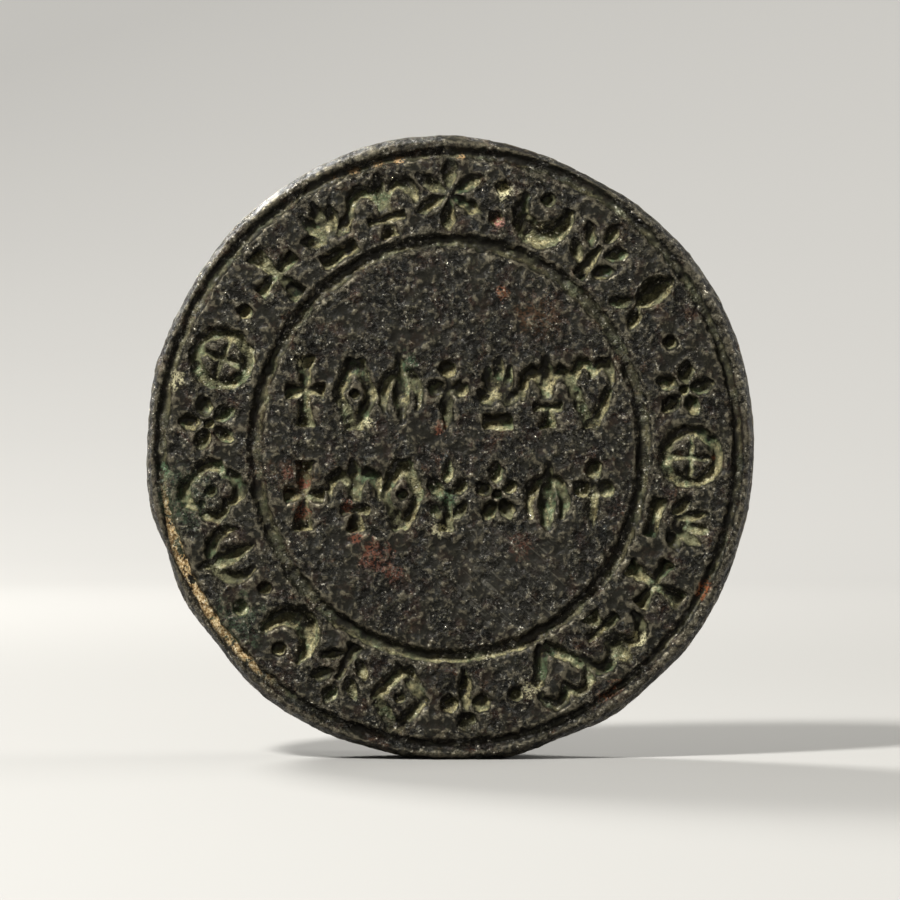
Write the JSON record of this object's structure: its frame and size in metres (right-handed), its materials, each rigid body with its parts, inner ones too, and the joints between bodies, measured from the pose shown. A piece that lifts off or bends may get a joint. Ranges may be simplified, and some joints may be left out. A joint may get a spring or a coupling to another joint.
{
  "type": "seal matrix",
  "caption": "Round engraved seal die of cast copper alloy with a folding trefoil handle hinged on its back.",
  "frame": {"origin": "middle of the engraved face, on its flat uncut field", "axes": "-Y out of the engraved face, +Y out of the back, +Z from the middle of the face to the star at its top, X along the hinge"},
  "size_m": [0.0312, 0.0074, 0.0318],
  "materials": {
    "die_plate": "dark patinated cast copper alloy with green and cream deposits in the cuts",
    "hinge_lugs": "dark patinated cast copper alloy",
    "hinge_pin": "rubbed, hammered rivet",
    "folding_handle": "patinated cast copper alloy, rubbed on its edges"
  },
  "bodies": {
    "die": {"die_plate": "die_plate", "hinge_lug_left": "hinge_lugs", "hinge_lug_right": "hinge_lugs", "hinge_pin": "hinge_pin"},
    "handle": {"folding_handle": "folding_handle"}
  },
  "joints": [
    {"name": "handle_hinge", "type": "hinge", "parent": "die", "child": "handle", "pos_m": [0, 0.0054, 0], "axis": [1, 0, 0], "range_deg": [0, 180]}
  ]
}
